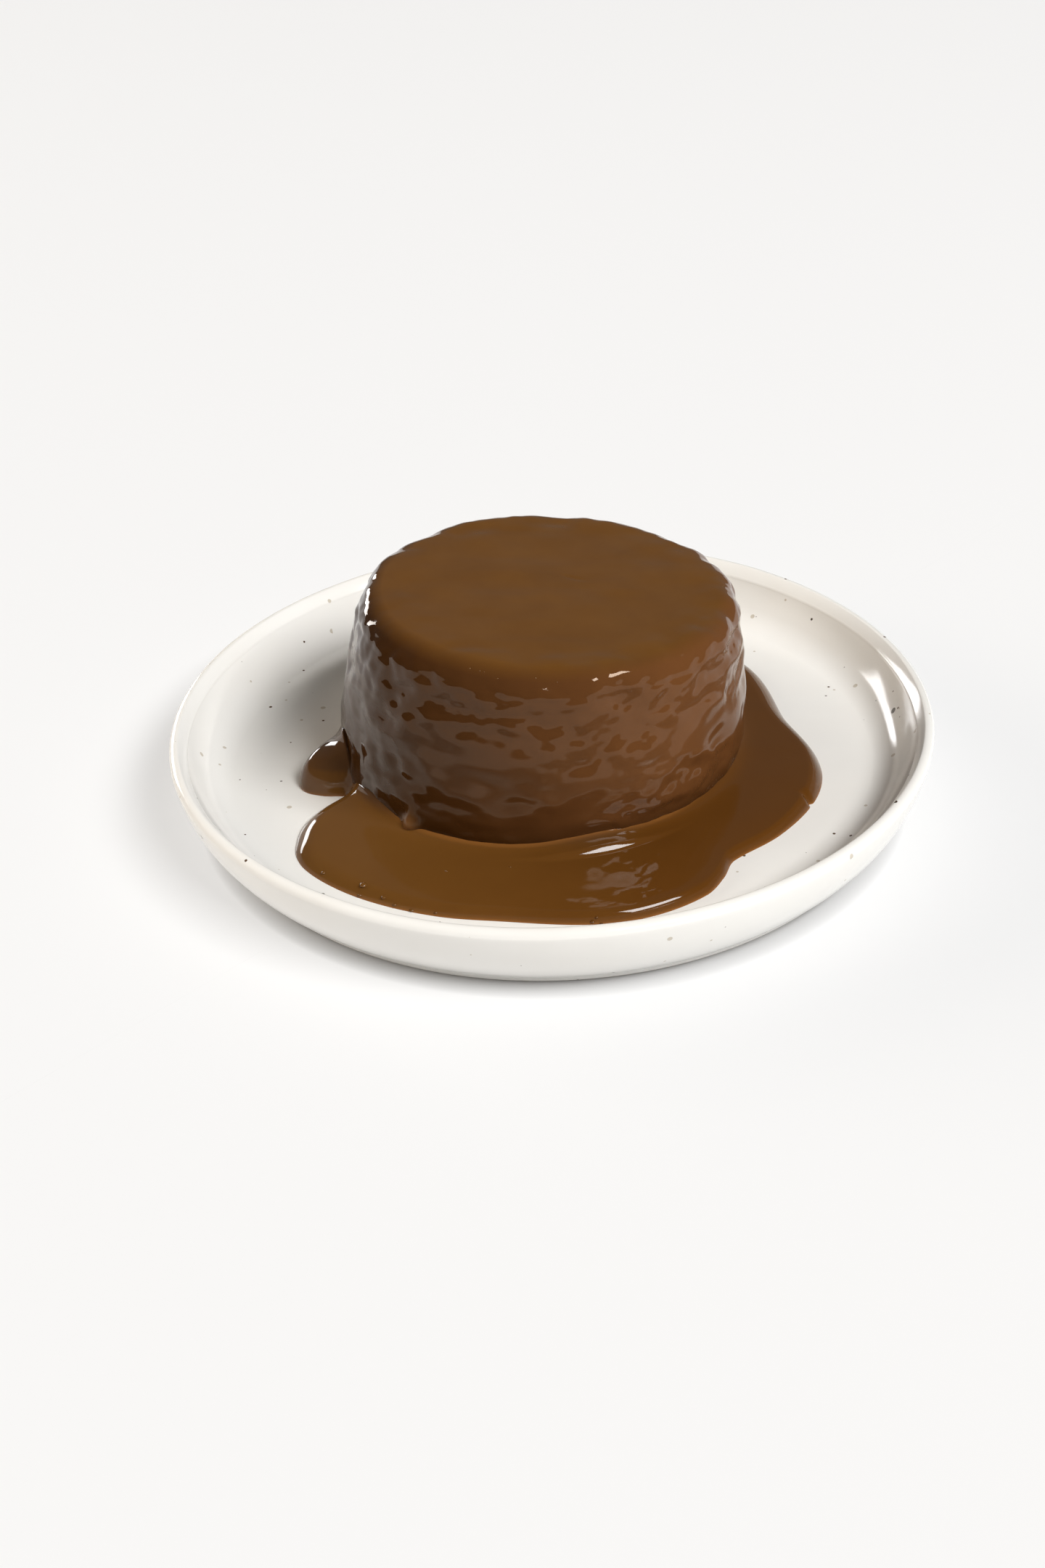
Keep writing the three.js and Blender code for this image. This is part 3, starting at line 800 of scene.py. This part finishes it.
def glazed_stoneware():
    """Off-white glaze with iron specks, and bare clay under the foot."""
    material, tree = new_material("glazed_stoneware")
    place = add_node(tree, "ShaderNodeTexCoord", {}).outputs["Object"]

    def specks(cell, widest, share, shift):
        """1 inside dark specks up to the widest size, in a share of the cells, both sizes in mm."""
        moved = add_node(tree, "ShaderNodeVectorMath", {0: place, 1: (shift * MM,) * 3}, operation="ADD")
        cells = add_node(tree, "ShaderNodeTexVoronoi", {
            "Vector": moved.outputs[0], "Scale": 1 / (cell * MM)})
        chance = add_node(tree, "ShaderNodeSeparateColor", {0: cells.outputs["Color"]})
        size = remap(tree, chance.outputs[0], 1 - share, 1.0, 0.0, widest / 2 / cell)
        inside = add_node(tree, "ShaderNodeMath", {
            0: size, 1: cells.outputs["Distance"]}, operation="SUBTRACT")
        return remap(tree, inside.outputs[0], 0.0, SPECK_EDGE / cell)

    # the glaze: off-white, a little creamier in wide soft patches
    glaze = mix_colours(tree, blotches(tree, place, 22, detail=3.0), "#f3f2ee", "#efece6")
    # the specks: faint ones deep in the glaze, then fine and coarse ones at its surface
    faint = mix_colours(tree, specks(cell=3.8, widest=1.3, share=0.4, shift=3.0), glaze, "#cdc4b6")
    fine = mix_colours(tree, specks(cell=3.0, widest=0.8, share=0.42, shift=0.0), faint, "#5b4433")
    coarse = mix_colours(tree, specks(cell=6.0, widest=1.5, share=0.5, shift=7.0), fine, "#4a3a2e")
    # the bare clay of the foot, below a line that wanders by half a millimetre
    height = add_node(tree, "ShaderNodeSeparateXYZ", {0: place}).outputs[2]
    glaze_line = add_node(tree, "ShaderNodeMath", {
        0: blotches(tree, place, 6), 1: 0.5 * MM, 2: height}, operation="MULTIPLY_ADD")
    glazed = remap(tree, glaze_line.outputs[0], 0.55 * MM, 0.8 * MM)
    # the glaze's soft pooling
    bump = add_node(tree, "ShaderNodeBump", {
        "Height": blotches(tree, place, 5, detail=1.0), "Distance": 0.03 * MM, "Strength": 1.0})
    add_shader(tree, {
        "Base Color": mix_colours(tree, glazed, "#cbbfae", coarse),
        "Roughness": remap(tree, glazed, 0.0, 1.0, CLAY_ROUGHNESS, GLAZE_ROUGHNESS),
        "Normal": bump.outputs[0], "IOR": 1.5})
    return material


plate.data.materials.append(glazed_stoneware())
print("plate finished in", plate.data.materials[0].name)

# %% [markdown]
# ## Poured chocolate glaze
#
# The glaze is cocoa, sugar and butter, poured warm. It sets to a dark brown film that is smooth as
# syrup, so most of what the eye sees of it is reflection. Its own colour is a deep brown with a little
# orange. Painted shade is laid into that colour: the top is lighter than the side, the side darkens
# towards the left, away from the softbox, and it is darkest low down, in painted shade by the sauce.
# The drop at the foot is painted lighter, a painted glow for the light that gets into it from its sides.
# Sugar syrup has an IOR near 1.41, and cocoa butter makes the reflections a little warm.

# %% The cake's material
SYRUP_IOR = 1.41


def poured_chocolate_glaze():
    """Deep brown syrup with painted shade, glossier where the crumb stretches it thin."""
    material, tree = new_material("poured_chocolate_glaze")
    place = add_node(tree, "ShaderNodeTexCoord", {}).outputs["Object"]
    axes = add_node(tree, "ShaderNodeSeparateXYZ", {0: place})
    cocoa = blotches(tree, place, 9, detail=4.0)
    # the side, in painted shade: nearly black at the left, away from the softbox, to brown at the right,
    # in uneven patches
    to_right = remap(tree, axes.outputs[0], -34 * MM, 30 * MM)
    uneven = add_node(tree, "ShaderNodeMath", {0: cocoa, 1: 0.16, 2: to_right}, operation="MULTIPLY_ADD")
    upper_side = mix_colours(tree, uneven.outputs[0], "#2d1907", "#664022")
    # painted shade low on the side, by the sauce
    painted_foot_shade = remap(tree, axes.outputs[2], 17 * MM, 10 * MM, 0.0, 0.85, interpolation_type="SMOOTHSTEP")
    down_side = mix_colours(tree, painted_foot_shade, upper_side, "#281403")
    # painted light: the top is lighter than the side, and the two meet on the rounded edge
    on_top = mix_colours(tree, cocoa, "#5d3b17", "#6c471e")
    over_edge = remap(tree, painted(tree, "side"), 0.15, 0.75)
    colour = mix_colours(tree, over_edge, on_top, down_side)
    # a grain of a few thousandths of a millimetre, which frays the edges of the reflections
    grain = add_node(tree, "ShaderNodeBump", {
        "Height": blotches(tree, place, 0.9), "Distance": 0.004 * MM, "Strength": 1.0})
    # the drop is painted lighter: a painted glow for the light that gets into it from its sides
    add_shader(tree, {
        "Base Color": mix_colours(tree, painted(tree, "drop"), colour, "#6e4a2a"),
        "Roughness": remap(tree, painted(tree, "busy"), 0.0, 1.0, 0.12, 0.05),
        "Normal": grain.outputs[0], "IOR": SYRUP_IOR, "Specular Tint": linear("#ffe8d0")})
    return material


cake.data.materials.append(poured_chocolate_glaze())
print("cake finished in", cake.data.materials[0].name)

# %% [markdown]
# ## Chocolate sauce
#
# The sauce is the same mixture with more syrup, so its surface is a liquid's: almost perfectly smooth.
# It is darker and greyish where it is deep, most of all in the tongue: the deep sauce's own darker colour
# with painted shade, for the cake's shadow over the tongue, and a painted greyish reflection. It is a
# little richer towards the right. Where its edge thins to nothing the plate shines through, in an orange
# line a third of a millimetre wide, and a lighter line along the cake's foot in front is a painted
# highlight. The mesh carries these as two values on its points, one for depth and shade, one for the
# thin edge and the highlight.

# %% The sauce's material
def chocolate_sauce():
    """Wet brown syrup, orange where it is thinnest, with painted shade and a painted foot highlight."""
    material, tree = new_material("chocolate_sauce")
    place = add_node(tree, "ShaderNodeTexCoord", {}).outputs["Object"]
    across = add_node(tree, "ShaderNodeSeparateXYZ", {0: place}).outputs[0]
    # slow swirls, and a richer brown towards the right
    swirl = blotches(tree, place, 11, detail=3.0)
    light = mix_colours(tree, swirl, "#62401a", "#69461e")
    dark = mix_colours(tree, swirl, "#56330f", "#5b3712")
    brown = mix_colours(tree, remap(tree, across, -45 * MM, 20 * MM), light, dark)
    # the depth: darker and greyish, as painted shade and a painted reflection in the tongue; orange along
    # the thin edge and in the painted highlight along the cake's foot
    deep_and_shaded = mix_colours(tree, painted(tree, "deep_and_painted_shade"), brown, "#46301f")
    add_shader(tree, {
        "Base Color": mix_colours(tree, painted(tree, "thin"), deep_and_shaded, "#8f5c2c"),
        "Roughness": remap(tree, swirl, 0.0, 1.0, 0.03, 0.09), "IOR": SYRUP_IOR})
    return material


sauce.data.materials.append(chocolate_sauce())
for bubbles in (sauce_bubbles, rim_bubbles):
    bubbles.data.materials.append(sauce.data.materials[0])
print("sauce finished in", sauce.data.materials[0].name)

# %% [markdown]
# ## Ties to the frame
#
# Each fine piece stands for one imported solid, which stays in the frame, hidden, for collision.
# Nothing moves here, so all pieces ride on one body.

# %% Ride and replace
for piece, node, slot in (
    (plate, "plate", "stoneware_glaze"),
    (cake, "cake", "cake_glaze"),
    (sauce, "sauce_pool", "chocolate_sauce"),
):
    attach(piece, "root")
    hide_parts(node)
for bubbles in (sauce_bubbles, rim_bubbles):
    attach(bubbles, "root")

# %% [markdown]
# ## The table, the lights and the camera
#
# Glossy chocolate is lit by what it reflects, so the surroundings matter as much as the lamps. A pale
# table fills the lower half and a dim grey room the upper half, brighter at the back. One wide softbox
# at the right in front casts the soft shadow and gives the sharp highlights. A small, low one at the
# back on the left puts the rims of light on the plate's lip and is seen only in reflections. Two faint
# warm fills stand in for the light that a real room throws back into shadows. They aren't mirrored, so
# they leave the chocolate dark.
#
# The table glows a little, as under light from all sides. Such light can't get in under the plate, so
# ambient occlusion takes the glow away within 4 mm of it, and that draws the contact shadow.

# %% A plain pale table
TABLE_SIZE = 24  # m, so that the chocolate mirrors it nearly to the horizon
TABLE_GLOW, CONTACT_SHADOW = 0.5, 4  # strength, and mm


def make_table():
    """A matt table at height 0 that is no part of the piece."""
    bpy.ops.mesh.primitive_grid_add(x_subdivisions=1, y_subdivisions=1, size=TABLE_SIZE)
    table = bpy.context.object
    table.name = "pale_table"
    material, tree = new_material("matt_white_table")
    open_sky = add_node(tree, "ShaderNodeAmbientOcclusion", {"Distance": CONTACT_SHADOW * MM})
    add_shader(tree, {
        "Base Color": linear("#aaaaaa"), "Roughness": 1.0, "Specular IOR Level": 0.0,
        "Emission Color": linear("#ffffff"),
        "Emission Strength": remap(tree, open_sky.outputs["AO"], 0.0, 1.0, 0.0, TABLE_GLOW)})
    table.data.materials.append(material)


make_table()
print("table", TABLE_SIZE, "m wide, with a contact shadow of", CONTACT_SHADOW, "mm")


# %% Softboxes
def softbox(name, azimuth, elevation, distance, width, height, radiance, colour="#ffffff",
            lights=True, mirrored=True):
    """A rectangular light aimed at the plate. Azimuth and elevation are in degrees, lengths in metres.

    It lights matt surfaces only if lights is set, and reflections show it only if mirrored is set.
    """
    data = bpy.data.lights.new(name, "AREA")
    data.shape, data.size, data.size_y = "RECTANGLE", width, height
    data.energy = radiance * 4 * width * height
    data.color = linear(colour)[:3]
    lamp = bpy.data.objects.new(name, data)
    level = cos(radians(elevation))
    direction = Vector((cos(radians(azimuth)) * level, sin(radians(azimuth)) * level,
                        sin(radians(elevation))))
    lamp.location = direction * distance
    lamp.rotation_euler = direction.to_track_quat("Z", "Y").to_euler()
    lamp.visible_camera = False
    lamp.visible_diffuse = lights
    lamp.visible_glossy = mirrored
    bpy.context.scene.collection.objects.link(lamp)
    print(name, "at", [round(v, 2) for v in lamp.location], "m")


softbox("key_softbox", azimuth=-42, elevation=46.5, distance=6.0, width=3.3, height=2.0, radiance=15.9)
softbox("rim_softbox", azimuth=128, elevation=11, distance=1.5, width=0.7, height=0.42, radiance=8.5,
        lights=False)
softbox("front_fill", azimuth=232, elevation=38, distance=3.0, width=3.0, height=1.5, radiance=0.45,
        colour="#ffe6c8", mirrored=False)
softbox("back_fill", azimuth=163, elevation=20, distance=3.0, width=3.0, height=1.0, radiance=4.8,
        colour="#fff4e6", mirrored=False)


# %% A dim room, brighter at the back
ROOM_FRONT, ROOM_BACK = 0.03, 0.15


def make_room():
    """A grey world that brightens from the middle of the room to the back."""
    world = bpy.data.worlds.new("dim_room")
    bpy.context.scene.world = world
    world.use_nodes = True
    tree = world.node_tree
    tree.nodes.clear()
    direction = add_node(tree, "ShaderNodeTexCoord", {}).outputs["Generated"]
    towards_back = add_node(tree, "ShaderNodeSeparateXYZ", {0: direction}).outputs[1]
    glow = remap(tree, towards_back, 0.0, 0.9, ROOM_FRONT, ROOM_BACK)
    room = add_node(tree, "ShaderNodeBackground", {"Color": linear("#fffdf8"), "Strength": glow})
    add_node(tree, "ShaderNodeOutputWorld", {"Surface": room.outputs[0]})
    print("room glows from", ROOM_FRONT, "in front to", ROOM_BACK, "at the back")


make_room()
bpy.context.scene.view_settings.view_transform = "Standard"

# %% [markdown]
# ## The camera
#
# The photograph was taken from 32 degrees above the table with a 50 mm lens on a full-frame camera,
# close enough for strong perspective. It was held 2 degrees out of level, and the plate isn't quite in
# the middle of the frame: one pixel place for the plate's centre says both.

# %% Set the camera
IMAGE_WIDTH, IMAGE_HEIGHT = 1440, 2160
FOCAL_PIXELS = 3000
SENSOR_SIDE = 36  # mm, the longer side of a full frame
DISTANCE = 453.2  # mm, from the plate's centre
ELEVATION, ROLL = 32.19, 2.01  # degrees
PLATE_CENTRE_PIXEL = (761.3, 1078.4)


def make_camera():
    data = bpy.data.cameras.new("camera")
    data.sensor_width = SENSOR_SIDE
    data.lens = FOCAL_PIXELS / IMAGE_HEIGHT * data.sensor_width
    data.clip_start, data.clip_end = 0.01, 50
    camera = bpy.data.objects.new("camera", data)
    level = radians(ELEVATION)
    place = Vector((0, -DISTANCE * cos(level), DISTANCE * sin(level)))
    forward = -place.normalized()
    right = Vector((1, 0, 0))
    look = Matrix((right, right.cross(forward), -forward))
    centre = Vector(((PLATE_CENTRE_PIXEL[0] - IMAGE_WIDTH / 2) / FOCAL_PIXELS,
                     -(PLATE_CENTRE_PIXEL[1] - IMAGE_HEIGHT / 2) / FOCAL_PIXELS, -1))
    aim = Vector((0, 0, -1)).rotation_difference(centre).to_matrix()
    turned = (aim @ Matrix.Rotation(radians(ROLL), 3, "Z") @ look).transposed()
    camera.matrix_world = Matrix.Translation(place * MM) @ turned.to_4x4()
    bpy.context.scene.collection.objects.link(camera)
    bpy.context.scene.camera = camera
    print("camera lens", data.lens, "mm")


make_camera()
